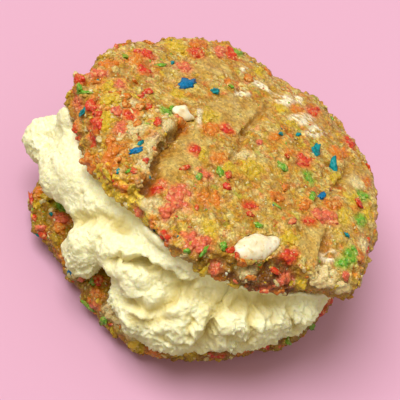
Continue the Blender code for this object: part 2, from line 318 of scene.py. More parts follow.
def specks(tree, where, size, share, seed):
    """Scattered specks of a size in mm: where they are, from 0 to 1, and a number for each."""
    place = add(tree, "ShaderNodeVectorMath", {0: where, 1: (seed, seed, seed)}).outputs[0]
    away, numbers = grains(tree, place, 1 / (size * MM))
    inside = spread(tree, away, 0.24, 0.36, 1, 0)
    some = add(tree, "ShaderNodeMath", {0: numbers["Blue"], 1: share}, operation="LESS_THAN")
    return times(tree, inside, some.outputs["Value"]), numbers["Red"]


def dough_material(name):
    """Baked dough: its painted colour with fine grain and specks of cereal dust, a little greasy."""
    material, tree, shader, where = new_material(name)
    melted = stored(tree, "melted")["Fac"]
    sugar, numbers = grains(tree, where, 1800)
    inputs = {0: stored(tree, "tint")["Color"], "Scale": spread(tree, numbers["Green"], 0, 1, 0.68, 1.25)}
    colour = add(tree, "ShaderNodeVectorMath", inputs, operation="SCALE").outputs["Vector"]
    dust_colours = (
        (0.0, DOUGH_BROWN * 0.6),
        (0.25, CEREAL["green"] * 0.4),
        (0.42, CEREAL["orange"]),
        (0.6, CEREAL["red"]),
        (0.74, CEREAL["yellow"]),
        (0.92, CEREAL["teal"] * 0.5),
    )
    for size, share, strength, seed in ((1.6, 0.08, 0.5, 3.1), (0.8, 0.12, 0.4, 8.7)):
        inside, pick = specks(tree, where, size, share, seed)
        shade = ramp(tree, pick, dust_colours, "CONSTANT")
        seen = times(tree, inside, spread(tree, melted, 0, 1, strength, strength * 0.3))
        colour = blend(tree, seen, colour, shade)
    tree.links.new(colour, shader.inputs["Base Color"])
    rough = spread(tree, melted, 0, 1, 0.27, 0.2)
    tree.links.new(rough, shader.inputs["Roughness"])
    shader.inputs["Specular IOR Level"].default_value = 0.35
    soak(shader, 0.35, 1.4, (1.0, 0.6, 0.2))
    roughen(tree, shader, times(tree, sugar, spread(tree, melted, 0, 1, 1.0, 0.6)), 0.7, 0.3)
    return material


def finish(piece, material, slot, *nodes):
    """Shades a piece smooth, gives it its material, and lets it ride on the model."""
    piece.data.materials.clear()
    piece.data.materials.append(material)
    piece.data.shade_smooth()
    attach(piece, "root")
    if nodes:
        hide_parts(*nodes)


lower = fine_copy("cookie_lower", "lower_cookie", LOWER_GRAIN, 10)
thin_out(lower, away_from(places_of(lower.data), LOWER_MIDDLE) < LOWER_HIDDEN, MOST_TRIANGLES)
spots = places_of(lower.data)
broken = smooth_step(away_from(spots, LOWER_MIDDLE) / LOWER_RADIUS, 0.8, 0.98)
lower_open = 0.5 + 0.5 * broken
relief, lower_colour = dough_crumb(spots, lower_open, 31)
relief += broken * (0.8 * soft_noise(spots, 3.2, 36) + 0.5 * soft_noise(spots, 1.5, 37))
resting = 1 - smooth_step(spots[:, 2], 0.0, 1.2)
push_out(lower, relief * (1 - 0.9 * resting) - 0.3 * (1 - resting))
# The broken rim is painted olive: painted shade
lower_colour = mix(lower_colour, DOUGH_OLIVE, 0.5 * broken)
# Rim and part resting on the table painted darker, browner than the upper cookie: painted shade; all then
# scaled darker, less blue
lower_colour = mix(lower_colour, DOUGH_BROWN, 0.3 * broken + 0.2 * resting) * (0.78, 0.83, 0.28)
lower_shares = {"open": lower_open, "coarse": broken * 0.35}
dough = dough_material("cookie_dough")
finish(lower, dough, "lower_cookie", "cookie_lower")

# ------------------------------------------------------------------------------------------------
# Cream: whipped filling, thick and torn at the front where it was squeezed out in four lumps, with
# thin films under the upper cookie. One closed body, with folds pressed in and its fluff raised.

CREAM_MIDDLE = (3, 1)
CREAM_HIDDEN = 31  # nearer its middle than this, it is between the cookies
CREAM_GRAIN = 0.37
CREAM_FOLDS = (
    # width, depth, route
    (1.4, 2.6, (
        (-2.5, -44, 21.5), (-1, -44, 22.5), (3.5, -44.5, 23), (5.5, -43.5, 24.5), (7, -42, 27),
        (6.5, -39.5, 29.5),
    )),
    (1.0, 1.2, ((1, -46, 20), (5, -45, 21), (7, -44.5, 23.5), (10, -43, 25))),
    (1.2, 3.4, ((-11, -42, 27), (-10, -41.5, 28.5), (-9, -41, 30.5), (-7, -41, 31), (-3, -38.5, 31.5))),
    (1.2, 2.2, ((-3, -38.5, 31.5), (-0.5, -39, 31.5), (2.5, -39, 32), (6, -38.5, 31), (9, -38, 31.5))),
    (1.8, 2.4, (
        (18, -36, 34), (18, -38, 31), (17.5, -41, 27), (18.5, -42, 24), (19, -42, 19), (18, -43, 14),
    )),
    (2.0, 1.6, ((18.5, -42, 24), (19, -42, 20))),
    (1.6, 1.8, ((-24, -31, 21), (-23, -32, 23), (-20.5, -32.5, 27), (-16.5, -32.5, 31), (-11, -33.5, 32.5))),
    (1.3, 1.8, ((23, -39, 24), (24.5, -39, 22))),
    (0.9, 1.6, ((25, -34.5, 30), (26, -36, 28), (27.5, -36, 23.5), (27, -37, 20))),
    (0.9, 1.4, ((33, -28, 28.5), (35, -27, 24), (37, -26, 20.5))),
    (0.8, 1.0, ((29.5, -32, 30), (30.5, -32, 26), (31, -32, 21))),
    (0.9, 1.0, ((11, -43, 28), (13, -43, 26), (15, -43.5, 22))),
    (0.8, 0.9, ((9, -45, 19), (12, -45.5, 18.5), (15, -44.5, 19))),
    # this fold runs under the upper cookie's front edge; its darker paint is the painted shadow of that edge
    (2.2, 0.8, ((2, -41, 31), (9, -39.5, 30.5), (17, -38, 30.5), (25, -34, 31), (33, -28, 31.5))),
)
CREAM_RIDGES = (
    # width, height, route
    (1.0, 0.9, ((-24, -28, 31), (-20.5, -30, 31), (-13.5, -33, 32.5))),
    (0.9, 1.6, (
        (-7.5, -40, 31.5), (-5, -38, 32.5), (-2.5, -38, 34.5), (0, -38.5, 34.5), (3.5, -38.5, 34.5),
        (7, -38, 33),
    )),
    (1.1, 1.2, ((15.5, -43, 20), (16, -42, 26), (16, -40, 28))),
    (2.2, 1.3, (
        (20, -40, 26), (23, -38, 27), (27, -34.5, 28), (32, -30, 27), (36, -26, 25), (38.5, -22, 25.5),
    )),
    (2.8, 1.4, ((0, -42, 26), (3, -42, 27))),
)
CREAM_SWELLINGS = (
    # place, reach, rise
    ((2, -43, 22), 8.0, 1.6),
    ((10, -44, 20), 6.0, 1.2),
    ((29, -34, 24), 6.0, 1.6),
    ((22, -38, 20), 4.0, 1.2),
    ((-18, -36, 25), 5.0, 1.0),
    ((-35, -23, 20), 5.5, 5.0),
    ((-37, -18, 27), 3.0, -1.6),
    ((-40, -13, 24), 4.0, -3.0),
    ((20, -34, 34), 6.0, -2.6),
    ((28, -29, 34), 6.0, -2.6),
    ((35, -22, 32), 5.0, -2.2),
)
CREAM_TORN = (
    # place, reach
    ((12, -44, 17), 5.0),
    ((17, -42, 24), 4.0),
    ((26, -36, 18), 7.0),
    ((35, -28, 22), 6.0),
    ((2, -45, 16), 4.0),
    ((-15, -38, 17), 3.5),
    ((-42, -12, 16), 4.0),
    ((-42, -10, 24), 5.0),
    ((-40, -17, 20), 5.0),
    ((-36, -20, 28), 4.0),
    ((-34, -24, 20), 4.0),
    ((8, -46, 12), 5.0),
    ((15, -45, 12), 4.5),
    ((22, -41, 13), 4.5),
    ((30, -34, 14), 5.0),
    ((-5, -45, 14), 4.0),
)
SWIRL = (2, -41, 26)  # the middle of the whirl on the large front lump


def fade(away, reach):
    """1 at no distance, fading out smoothly with the distance."""
    return np.exp(-((away / reach) ** 2))


def shreds(places, scale, seed):
    """Sharp edges of a scale in mm, 1 along each and falling away on both sides."""
    return 1 - 2.5 * np.abs(soft_noise(places, scale, seed))


def distance_to(places, route):
    """How far places are from a route of straight runs."""
    route = np.array(route, float)
    nearest = np.full(len(places), 1e9)
    for start, end in zip(route, route[1:]):
        run = end - start
        share = np.clip(((places - start) @ run) / (run @ run), 0, 1)
        nearest = np.minimum(nearest, np.linalg.norm(places - start - share[:, None] * run, axis=1))
    return nearest


def surface_of(mesh):
    """A mesh's surface, on which the nearest spot can be found."""
    mesh.calc_loop_triangles()
    triangles = np.empty(len(mesh.loop_triangles) * 3, dtype=np.int32)
    mesh.loop_triangles.foreach_get("vertices", triangles)
    return BVHTree.FromPolygons(places_of(mesh).tolist(), triangles.reshape(-1, 3).tolist())


def store_share(mesh, name, share):
    layer = mesh.attributes.new(name, "FLOAT", "POINT")
    layer.data.foreach_set("value", np.clip(share, 0, 1).astype(np.float32))


cream = fine_copy("cream_filling", "cream", CREAM_GRAIN, 6)
thin_out(cream, away_from(places_of(cream.data), CREAM_MIDDLE) < CREAM_HIDDEN, MOST_TRIANGLES)
spots = places_of(cream.data)
side = smooth_step(away_from(spots, CREAM_MIDDLE), 30, 35)
bent = spots + np.stack([soft_noise(spots, 5.0, seed) * 2.2 for seed in (58, 59, 60)], axis=1)
fluff = 0.7 * soft_noise(spots, 5.5, 51) + 0.45 * soft_noise(spots, 2.6, 52)
fluff += 0.2 * soft_noise(spots, 1.3, 53) + 0.14 * soft_noise(spots, 0.75, 55)
airy = patches(spots, 4.0, 50, -0.1, 0.4)
fluff -= 0.5 * airy * smooth_step(np.abs(soft_noise(bent, 1.5, 47)), 0.0, 0.12) - 0.5 * airy
# Streaks run up its right part, and rings go round the whirl on the rest
streaks = soft_noise(bent * (1, 1, 0.22), 1.7, 54)
to_right = smooth_step(spots[:, 0], 14, 20)
swirl_out = np.linalg.norm(bent - SWIRL, axis=1)
rings = soft_noise(np.stack([swirl_out, bent[:, 0] * 0.12, bent[:, 2] * 0.12], axis=1), 2.2, 56)
fluff += 0.9 * streaks * to_right + 0.9 * rings * (1 - to_right)
for place, reach, rise in CREAM_SWELLINGS:
    fluff += rise * fade(np.linalg.norm(spots - place, axis=1), reach)
# Where it was torn, sharp shreds stand up; then folds go in and ridges come out
ragged = np.zeros(len(spots))
for place, reach in CREAM_TORN:
    ragged = np.maximum(ragged, fade(np.linalg.norm(spots - place, axis=1), reach))
feathers = shreds(spots, 1.2, 48)
fluff += ragged * (0.7 * shreds(bent, 2.2, 49) + feathers - 0.35) + 0.2 * feathers
wander = soft_noise(spots, 2.0, 57)[:, None] * 0.8
folded = np.zeros(len(spots))
for width, depth, route in CREAM_FOLDS:
    near = fade(distance_to(spots + wander, route), width)
    fluff -= depth * near
    folded = np.maximum(folded, near)
for width, height, route in CREAM_RIDGES:
    fluff += height * fade(distance_to(spots + wander, route), width)
# Close to the upper cookie the cream is pressed flat against it, and at the left it is smoother
cookie_above = surface_of(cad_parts["cookie_upper"].data)
gap = np.array([cookie_above.find_nearest(spot)[3] for spot in spots.tolist()])
clear = smooth_step(gap, 0.6, 2.6)
calm = 1 - 0.5 * smooth_step(-spots[:, 0], 22, 30)
push_out(cream, fluff * side * clear * calm + 0.3 * (1 - clear))
# The folds are painted darker yellow in the material: painted shade
store_share(cream.data, "folded", folded)


def clouds(tree, where, many, detail):
    """Soft clouds, so many to a metre, from 0 to 1."""
    inputs = {"Vector": where, "Scale": many, "Detail": detail}
    return add(tree, "ShaderNodeTexNoise", inputs).outputs["Fac"]


def cream_material(name):
    """Whipped cream: pale yellow, cloudy, full of fine pores, with light glowing through, and painted shade
    in its folds.
    """
    material, tree, shader, where = new_material(name)
    stops = ((0.34, paint(248, 242, 188)), (0.6, paint(254, 251, 212)))
    colour = ramp(tree, clouds(tree, where, 900, 5), stops)
    # painted shade: darker olive-yellow in the folds
    deep = times(tree, stored(tree, "folded")["Fac"], 0.7)
    colour = blend(tree, deep, colour, (*paint(212, 190, 96), 1))
    tree.links.new(colour, shader.inputs["Base Color"])
    roughen(tree, shader, clouds(tree, where, 1500, 4), 0.9, 0.4)
    shader.inputs["Roughness"].default_value = 0.48
    soak(shader, 0.35, 1.4, (1.0, 0.8, 0.35))
    return material


finish(cream, cream_material("whipped_cream"), "cream", "cream_filling")

# ------------------------------------------------------------------------------------------------
# Upper cookie: the same dough, domed side up. Its left front has crumbled and stands a little above
# the rest along a long crack, the middle has smooth melted patches, and the front edge is torn.

UPPER_MIDDLE = (4.6, 2.8, 31.6)
UPPER_RADIUS = 43.2
UPPER_HIDDEN = 38.5  # nearer its middle than this, its underside is on the cream
UPPER_GRAIN = 0.36
LEAN_RIGHT = 3.0  # degrees
LEAN_BACK = 12.5
upper_frame = (
    Matrix.Translation(UPPER_MIDDLE)
    @ Matrix.Rotation(math.radians(LEAN_RIGHT), 4, "Y")
    @ Matrix.Rotation(-math.radians(LEAN_BACK), 4, "X")
)
upper_turn = np.array(upper_frame.to_3x3())
upper_middle = np.array(upper_frame.translation)
LONG_CRACK = (
    # x and y along it, from its inner end to the rim
    (-15.5, -5), (-17.5, -10), (-18.8, -18.5), (-19.2, -24.5), (-18.2, -30), (-17.2, -35), (-17.2, -39),
)
SHALLOW_CRACKS = (
    # width, depth, route
    (0.7, 1.0, ((-0.5, 18), (-1.2, 12), (-1.5, 9.5), (-2.5, 2), (-2, -6), (-2, -11))),
    (0.9, 1.0, ((25.5, 16), (25.5, 10), (24, -1))),
    (1.0, 1.3, ((27.5, -14), (28, -19), (29, -24), (31, -29))),
    (1.2, 1.2, ((-43, -11), (-40, -5), (-35, -2.5), (-30, -2))),
    (0.6, 0.6, ((-30, 3.5), (-24, 6))),
    (0.6, 0.7, ((20, 27), (21, 24), (22, 21))),
)
TORN_EDGE = (
    # x and y of the line where the top breaks off
    (-5, -46), (-2, -44.5), (1, -42.5), (4, -40), (9, -38.6), (12.5, -37.8), (16, -35.4), (19, -31.5),
    (22, -30.2), (25, -29.6), (29, -29), (32, -30.5), (35, -33),
)
SMOOTH_PATCHES = (
    # middle x and y, half-length, half-width, turn in degrees
    (-14, -22, 12, 5.0, 80),
    (-7, 7, 10, 5.0, 60),
    (-18, 21, 6, 4.0, 60),
    (25, -21, 6, 3.5, 80),
    (29, 13, 8, 3.0, 70),
    (9, 24, 8, 3.0, 40),
)
WHITE_SMEARS = (
    # as for the smooth patches
    (3, 25, 4.5, 2.2, 55),
    (9, 21, 5.5, 2.0, 65),
    (-4, 25, 3.2, 1.4, 170),
    (6, 30, 3.2, 1.2, 80),
    (14, 20, 4.5, 1.6, 65),
    (-8, 16, 3.0, 0.9, 50),
    (-14, -4, 3.2, 1.0, 105),
    (-10, 28, 2.0, 1.0, 85),
    (30, -21, 2.0, 1.5, 70),
)


def in_upper(places):
    """Places in the upper cookie's own frame."""
    return (places - upper_middle) @ upper_turn


def oval_share(local, ovals, edge):
    """How far places are inside flat ovals, from 0 to 1, with ragged edges."""
    share = np.zeros(len(local))
    ragged = 0.35 * soft_noise(local, 3.0, 71) + 0.2 * soft_noise(local, 1.2, 72)
    for x, y, length, width, turn in ovals:
        angle = math.radians(turn)
        along = (local[:, 0] - x) * math.cos(angle) + (local[:, 1] - y) * math.sin(angle)
        across = (local[:, 1] - y) * math.cos(angle) - (local[:, 0] - x) * math.sin(angle)
        round_it = np.hypot(along / length, across / width) + ragged
        share = np.maximum(share, 1 - smooth_step(round_it, 1 - edge, 1 + edge))
    return share


def torn_share(local):
    """Where the top has broken off along the front, from 0 to 1."""
    edge_y = np.interp(local[:, 0], [x for x, _ in TORN_EDGE], [y for _, y in TORN_EDGE])
    past = edge_y - local[:, 1] + 0.8 * soft_noise(local, 2.0, 67) + 0.5 * soft_noise(local, 0.9, 70)
    between = smooth_step(local[:, 0], -6, -3) * (1 - smooth_step(local[:, 0], 31, 35))
    return smooth_step(past, -0.1, 0.9) * between


# First the front edge breaks off: its top sinks by 2.8 mm and draws back by 0.8 mm
upper = fine_copy("cookie_upper", "upper_cookie", 0.5, 4)
places = places_of(upper.data)
local = in_upper(places)
torn = torn_share(local) * smooth_step(local[:, 2], -4, 0)
move_to(upper.data, places + torn[:, None] * (0.8 * upper_turn[:, 1] - 2.8 * upper_turn[:, 2]))
remesh(upper, UPPER_GRAIN, 10)
local = in_upper(places_of(upper.data))
facing_down = normals_of(upper.data) @ upper_turn[:, 2] < -0.3
thin_out(upper, (away_from(local, (0, 0)) < UPPER_HIDDEN) & facing_down, MOST_TRIANGLES)
local = in_upper(places_of(upper.data))
x, y = local[:, 0], local[:, 1]
on_top = smooth_step(normals_of(upper.data) @ upper_turn[:, 2], 0.25, 0.7)
out = away_from(local, (0, 0)) / UPPER_RADIUS
edge = smooth_step(out, 0.84, 0.97)
melted = oval_share(local, SMOOTH_PATCHES, 0.15) * on_top
crumbly = (1 - 0.92 * melted) * (0.6 + 0.4 * patches(local, 9.0, 61, -0.3, 0.3))
# Left of the long crack the top has crumbled
crack_x = np.interp(-y, [-at_y for _, at_y in LONG_CRACK], [at_x for at_x, _ in LONG_CRACK])
ragged = 1.1 * soft_noise(local, 2.6, 62) + 0.7 * soft_noise(local, 1.1, 63)
beside = x - crack_x + ragged
along_crack = smooth_step(-y, 6, 11)
crumbled = (1 - smooth_step(beside, -0.25, 0.25)) * along_crack
crumbly = np.maximum(crumbly, crumbled * on_top)
relief, upper_colour = dough_crumb(local, crumbly, 11)
relief += edge * (0.8 * soft_noise(local, 3.0, 64) + 0.7 * soft_noise(local, 1.4, 65) - 0.3)
low_edge = edge * (1 - on_top) * crumbled
relief += low_edge * (0.9 * soft_noise(local, 2.2, 76) + 0.7 * shreds(local, 1.6, 77))
# The torn edge is rough, and the rim below it hangs over the cream
torn = torn_share(local)
relief += torn * (1.3 * soft_noise(local, 2.6, 69) + 0.7 * soft_noise(local, 1.2, 75))
overhang = smooth_step(x, -7, -3) * (1 - smooth_step(x, 12, 16)) * smooth_step(-y, 34, 37)
relief += overhang * (1 - on_top) * (1.0 + 0.8 * soft_noise(local, 1.8, 78))
# The cracks go in. The crumbled side of the long one stands up, and the other side sinks
groove = np.zeros(len(local))
wander = soft_noise(local, 1.6, 66)[:, None] * 0.7
for width, depth, route in SHALLOW_CRACKS:
    away = distance_to((local + wander) * (1, 1, 0), [(*place, 0) for place in route])
    groove = np.maximum(groove, depth * fade(away, width))
groove = np.maximum(groove, 1.7 * fade(beside - 1.3, 1.4) * along_crack)
lip = crumbled * fade(beside, 5.0)
sunk = (1 - crumbled) * along_crack * fade(beside, 5.5)
smear = oval_share(local, WHITE_SMEARS, 0.5) * on_top
smear *= patches(local * (1, 2, 1), 2.0, 68, -0.35, 0.1)
push_out(upper, relief + on_top * (lip - groove - sunk) * (1 - torn) + 0.2 * smear - 0.2)
# Its colours: melted patches, painted shade in the cracks, on the side and on the torn edge, crumbled top,
# low front edge and smears
mottled = mix(DOUGH_GOLD, DOUGH_PALE, np.clip(0.4 + 0.5 * soft_noise(local, 3.0, 73), 0, 1))
to_right = smooth_step(x + 8 * soft_noise(local, 4.0, 79), 4, 14)
flaky = smooth_step(-y, 27, 32) * (1 - on_top) * (1 - smooth_step(x, -14, -9))
for shade, share in (
    (mottled, melted * 0.85),
    # painted shade in the cracks
    (DOUGH_BROWN, np.clip(groove * 0.5, 0, 0.7) * on_top),
    # painted shade on the side near the rim
    (DOUGH_OLIVE, 0.6 * (1 - on_top) * smooth_step(out, 0.7, 0.9)),
    # painted shade on the torn edge, darker to the right
    (mix(paint(170, 128, 14), paint(102, 50, 0), to_right), 0.9 * torn),
    (CEREAL["orange"], 0.35 * crumbled * patches(local, 3.5, 74, -0.2, 0.3)),
    (paint(244, 214, 70), 0.75 * flaky),
    (paint(248, 236, 204), smear * 0.9),
):
    upper_colour = mix(upper_colour, shade, share)
store_share(upper.data, "melted", np.maximum(melted, smear))
finish(upper, dough, "upper_cookie", "cookie_upper")
upper_shares = {
    "open": crumbly * (1 - 0.8 * smear) * (1 - 0.5 * torn),
    "coarse": np.maximum(np.maximum(crumbled * on_top, torn * 0.15), edge * 0.28 * (1 - melted)),
}

# ------------------------------------------------------------------------------------------------
# White chocolate: a large melted lump near the front edge, a small one left of the middle, and thin
# smears across the top. The lumps are the two solids with a finer, softer surface.


def chocolate_material(name):
    """White chocolate: ivory, cloudy, a little glossy; painted olive low down as painted shade, and in
    random blotches.
    """
    material, tree, shader, where = new_material(name)
    cloud = clouds(tree, where, 420, 3)
    colour = ramp(tree, cloud, ((0.3, paint(232, 212, 164)), (0.6, paint(246, 238, 212))))
    low = times(tree, stored(tree, "shaded")["Fac"], 0.75)
    colour = blend(tree, low, colour, (*paint(206, 172, 92), 1))
    dot, _ = specks(tree, where, 0.8, 0.1, 5.5)
    colour = blend(tree, times(tree, dot, 0.5), colour, (*CEREAL["coral"], 1))
    tree.links.new(colour, shader.inputs["Base Color"])
    roughen(tree, shader, cloud, 0.4, 0.4)
    shader.inputs["Roughness"].default_value = 0.4
    soak(shader, 0.4, 1.5, (1.0, 0.8, 0.5))
    return material


CHUNK_GRAIN = 0.2
white_chocolate = chocolate_material("white_chocolate")
for node, name in (("white_chunk_front", "front_white_chunk"), ("white_chunk_left", "left_white_chunk")):
    chunk = fine_copy(node, name, CHUNK_GRAIN, 4)
    spots = places_of(chunk.data)
    middle = spots.mean(axis=0)
    long_way = np.linalg.svd(spots[::7] - middle, full_matrices=False)[2][0]
    long_way *= np.sign(long_way[0])
    run = (spots - middle) @ long_way
    reach = (run - run.min()) / (run.max() - run.min())
    if node == "white_chunk_front":  # blunt at its left end, and drawn out to the right
        melt = 0.3
        wide = 1.1 - 0.2 * smooth_step(reach, 0.45, 1.0) + 0.6 * np.exp(-reach / 0.08)
        wide += 0.2 * np.exp((reach - 1) / 0.1) + 0.25 * soft_noise(spots, 3.5, 86)
    else:
        melt = -0.25
        wide = 1.3 + 0.6 * soft_noise(spots, 2.5, 85)
    along = run[:, None] * long_way
    spots = middle + along + (spots - middle - along) * wide[:, None]
    move_to(chunk.data, spots)
    push_out(chunk, melt + 0.35 * soft_noise(spots, 2.6, 81) + 0.1 * soft_noise(spots, 0.8, 82))
    local = in_upper(spots)
    share = (local - local.min(axis=0)) / (local.max(axis=0) - local.min(axis=0))
    # Its lower side is painted olive: painted shade; random darker blotches are added to the same share
    shaded = 1 - smooth_step(share[:, 2] + 0.25 * soft_noise(spots, 2.0, 83), 0.25, 0.65)
    shaded = np.maximum(shaded, patches(spots, 1.1, 84, 0.4, 0.5) * 0.6)
    store_share(chunk.data, "shaded", shaded)
    finish(chunk, white_chocolate, "white_chocolate", node)

# ------------------------------------------------------------------------------------------------
# Fruit cereal: puffed rice crushed into the dough, in clumps of rounded kernels sunk in it and in
# loose flakes on it. One piece for each colour. Each entry is x, y, z, length, width and turn.

UPPER_CLUMPS = {
    "coral": (
        (25, -10, 8, 8.5, 4.5, 45), (-9, -33, 7, 8.0, 4.5, 95), (0, -41, 4, 6.5, 4.5, 35),
        (-24, 15, 7, 6.5, 3.5, 75), (-9, -38, 5, 5.0, 4.0, 95), (-18, 31, 7, 6.0, 2.5, 95),
        (7, -40, -1, 4.0, 2.5, 100), (24, -32, 3, 5.5, 2.5, 165), (-29, -22, 7, 5.0, 2.0, 100),
        (-42, -15, 1, 4.5, 2.0, 30), (-32, -17, 7, 3.0, 3.0, 90), (-35, -8, 8, 4.0, 2.0, 100),
        (-15, -38, 0, 4.0, 2.0, 105), (-6, -22, 8, 4.0, 2.0, 175), (36, -23, 5, 3.0, 2.5, 65),
        (2, 0, 9, 2.5, 1.5, 90), (18, -20, 8, 2.5, 1.5, 60), (-42, -5, 5, 6.0, 3.0, 15),
        (20, -37, -3, 4.0, 3.0, 0),
    ),
    "red": (
        (-35, -23, 4, 12.0, 5.0, 145), (24, 28, 5, 7.0, 3.0, 85), (11, 29, 8, 7.5, 2.5, 75),
        (-15, 33, 7, 5.0, 3.5, 130), (14, 4, 9, 5.0, 3.5, 85), (21, -30, 6, 5.5, 3.0, 60),
        (-23, 23, 8, 4.5, 3.0, 125), (-38, -18, 5, 5.0, 2.5, 140), (-45, -10, 4, 4.5, 2.0, 30),
        (-32, 5, 7, 3.5, 3.0, 75), (-29, -17, 8, 3.5, 3.0, 90), (-7, -2, 9, 3.5, 3.0, 65),
        (-7, -43, 2, 3.5, 3.0, 40), (-11, -16, 9, 4.0, 2.5, 90), (32, 4, 7, 3.0, 2.5, 50),
        (39, -7, 4, 4.0, 1.5, 65), (-22, -16, 9, 3.0, 2.0, 100), (10, 1, 10, 3.0, 1.5, 85),
        (21, -34, 5, 3.0, 1.5, 15), (-1, -18, 9, 3.0, 1.5, 100), (0, -22, 8, 2.0, 2.0, 75),
        (-26, -12, 9, 2.5, 1.5, 100), (8, -38, 5, 2.5, 1.5, 50), (-24, -24, 8, 2.0, 1.5, 100),
        (-20, -30, 8, 2.0, 1.5, 55), (-21, -34, 7, 2.0, 1.5, 105), (10, -39, 5, 2.0, 1.5, 130),
        (-4, -33, 7, 2.0, 1.0, 105), (-39, -20, -3, 5.5, 2.0, 170),
        (-34, 11, 7, 6.0, 3.0, 20), (-15, -33, 6, 4.5, 2.2, 60), (7, -23, 8, 3.5, 1.8, 50),
        (-28, -5, 8, 3.0, 2.0, 50), (22, -15, 8, 3.5, 1.2, 50), (-29, -9, 9, 2.0, 1.5, 75),
        (-11, -24, 8, 3.0, 1.2, 45), (8, -26, 8, 2.0, 1.2, 25), (31, 23, 5, 2.5, 1.5, 170),
    ),
    "orange": (
        (-31, -30, -1, 9.0, 5.0, 60), (22, 18, 8, 9.0, 4.0, 65), (-41, 2, 5, 7.0, 4.5, 105),
        (-28, -32, 5, 12.0, 5.0, 135), (-24, 29, 7, 7.0, 4.0, 80), (-17, -9, 9, 5.5, 4.0, 15),
        (-35, 7, 7, 6.0, 4.0, 90), (-10, -5, 9, 6.0, 3.5, 75), (38, -14, 6, 5.0, 3.0, 70),
        (-41, -8, 6, 5.5, 3.5, 75), (26, -4, 8, 6.0, 2.5, 50), (12, -15, 9, 4.5, 3.0, 50),
        (-5, -14, 9, 5.0, 3.0, 60), (-22, -37, 2, 5.0, 2.5, 50), (-1, -28, 8, 5.0, 2.5, 105),
        (7, 24, 8, 4.5, 2.5, 60), (19, -11, 8, 4.5, 2.5, 90), (32, 16, 6, 5.0, 2.0, 75),
        (-11, -40, 0, 5.0, 2.0, 80), (-8, 25, 8, 3.0, 2.5, 75), (5, 6, 9, 3.5, 2.0, 60),
        (10, 4, 10, 3.5, 2.0, 75), (-4, -29, 7, 3.5, 2.0, 55), (-31, -14, 8, 2.5, 2.5, 75),
        (-12, 17, 9, 3.0, 2.0, 130), (13, -10, 9, 3.0, 2.0, 80), (12, -40, 3, 3.0, 2.0, 120),
        (-28, -13, 9, 2.5, 2.0, 55), (-26, -19, 8, 2.5, 2.0, 90), (17, -39, 3, 2.5, 1.5, 20),
        (8, -40, -4, 4.0, 3.0, 0), (-4, -42, -3, 4.0, 2.5, 0), (23, -34, -2, 3.5, 2.5, 0),
        (-35, 21, 4, 3.0, 2.0, 0), (-4, 38, 5, 3.0, 2.0, 175),
    ),
    "yellow": (
        (3, -11, 9, 8.0, 5.0, 70), (-29, 24, 6, 9.0, 4.0, 60), (-25, -34, -1, 8.0, 3.0, 65),
        (-33, -21, 6, 6.0, 3.0, 110), (36, 4, 6, 5.5, 3.0, 85), (29, -5, 7, 6.0, 3.0, 95),
        (-12, -1, 9, 5.0, 3.0, 70), (-6, 33, 7, 6.0, 2.0, 85), (19, -25, 7, 5.0, 3.0, 55),
        (3, 19, 9, 5.0, 2.5, 80), (24, 7, 8, 5.0, 2.5, 75), (-35, -15, 7, 3.5, 3.0, 50),
        (7, 16, 9, 4.0, 2.0, 60), (-37, -10, 7, 3.5, 2.5, 105), (1, -36, 6, 3.5, 2.5, 100),
        (-22, 1, 8, 3.5, 2.0, 90), (-2, -16, 9, 3.5, 2.0, 75), (-9, -16, 9, 3.5, 1.5, 105),
        (35, -26, 2, 2.5, 2.5, 160), (-19, -37, 4, 3.0, 2.0, 105), (30, 4, 7, 4.0, 1.5, 60),
        (-19, -36, -2, 7.0, 2.0, 0), (40, -20, 3, 2.5, 1.5, 55),
        (5, -41, -3, 4.0, 3.0, 0), (13, -39, -4, 4.0, 3.0, 0), (-9, -41, -3, 4.0, 2.5, 0),
        (28, -30, 0, 4.0, 3.0, 0), (-14, -38, -3, 5.0, 3.0, 0), (-24, -36, -3, 5.0, 3.0, 0),
    ),
    "green": (
        (35, -16, 6, 6.0, 3.0, 75), (-14, 36, 7, 4.0, 2.5, 70), (17, -1, 9, 3.5, 2.0, 90),
        (32, 8, 7, 3.5, 2.0, 60), (34, -1, 6, 4.0, 2.0, 65), (-22, -10, 9, 3.5, 2.0, 80),
        (-11, 16, 9, 2.5, 1.5, 90), (20, -7, 9, 3.0, 1.5, 100), (34, -20, 6, 3.5, 1.5, 45),
        (6, -38, 5, 2.5, 2.0, 100), (-3, -19, 9, 2.5, 1.5, 135), (3, -42, 3, 3.0, 1.5, 25),
        (-21, -7, 9, 2.0, 1.5, 80),
    ),
    "teal": ((-14, 10, 9, 2.5, 2.0, 80),),
    "plain": (
        (31, -27, 3, 7.0, 6.0, 30), (36, -25, 2, 5.0, 4.0, 60), (-14, -37, 2, 4.5, 3.5, 40),
        (-20, -15, 9, 6.0, 2.0, 95), (-21, -24, 8, 6.0, 2.0, 95), (-20, -30, 7, 4.0, 3.0, 60),
        (-26, -21, 8, 6.0, 3.0, 80), (14, -37, 1, 4.0, 2.5, 20), (38, -8, 5, 5.0, 3.0, 80),
        (-30, -13, 8, 4.0, 2.5, 50), (30, 12, 7, 5.0, 3.0, 70), (0, -8, 9, 3.5, 2.0, 30),
    ),
}
